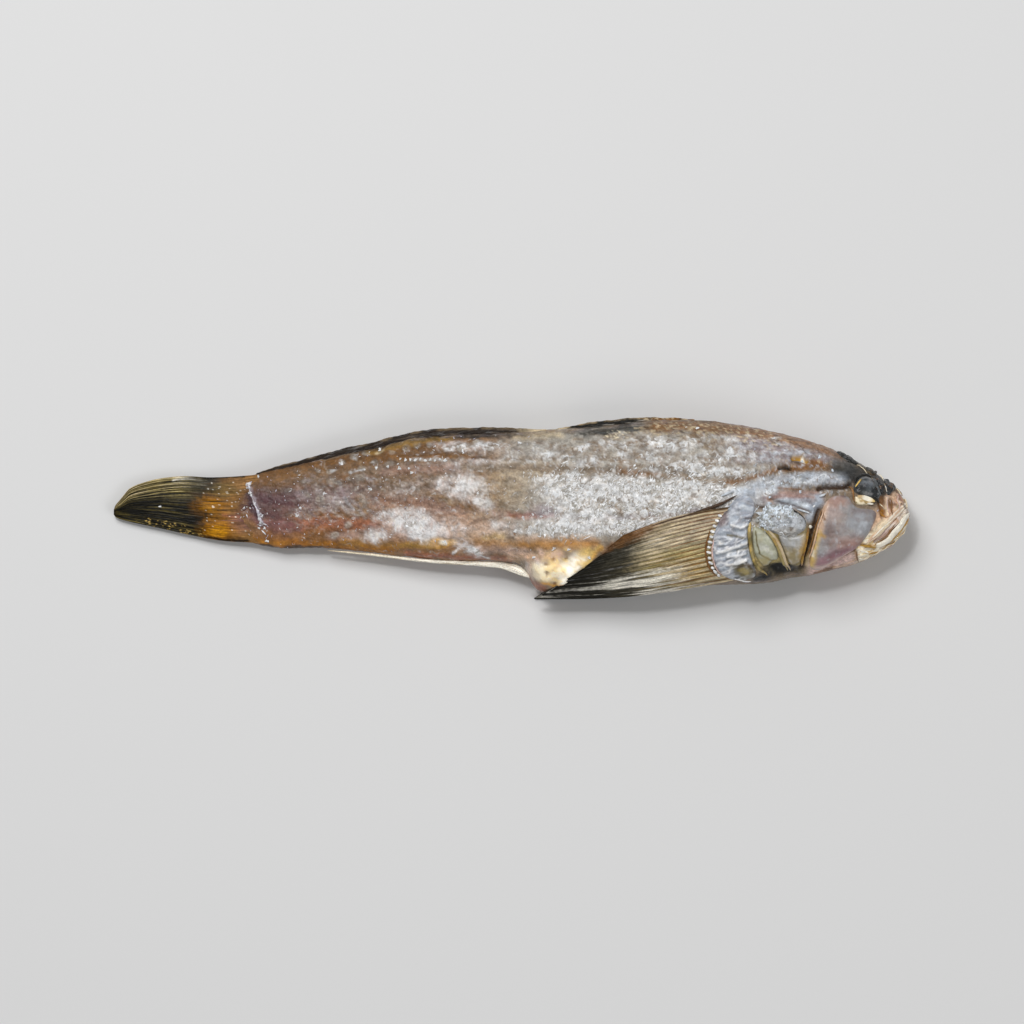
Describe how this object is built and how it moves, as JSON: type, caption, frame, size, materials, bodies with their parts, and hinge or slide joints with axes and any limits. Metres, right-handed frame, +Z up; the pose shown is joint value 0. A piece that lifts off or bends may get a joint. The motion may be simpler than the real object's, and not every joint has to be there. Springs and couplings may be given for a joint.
{
  "type": "dried goby",
  "caption": "Whole salted and air-dried goby lying on its side, with folded fins, a shrunken eye and a shut mouth.",
  "frame": {"origin": "on the table under the middle of the fish's box", "axes": "+X from the tail to the snout, +Y from the belly to the back, +Z up from the table through the shown flank"},
  "size_m": [0.1604, 0.038, 0.0199],
  "materials": {
    "skin": "dried scaly skin, grey-brown with a bloom of salt, amber belly edge",
    "fins": "stiff dried fin rays and web, charcoal and olive brown",
    "mouth": "dried lips, cream and amber, slightly glossy",
    "eye": "shrunken eye, dark and glossy with a pale gold crescent",
    "salt": "salt crystals and crust, white and matte"
  },
  "bodies": {
    "root": {"goby": "skin"}
  },
  "joints": []
}
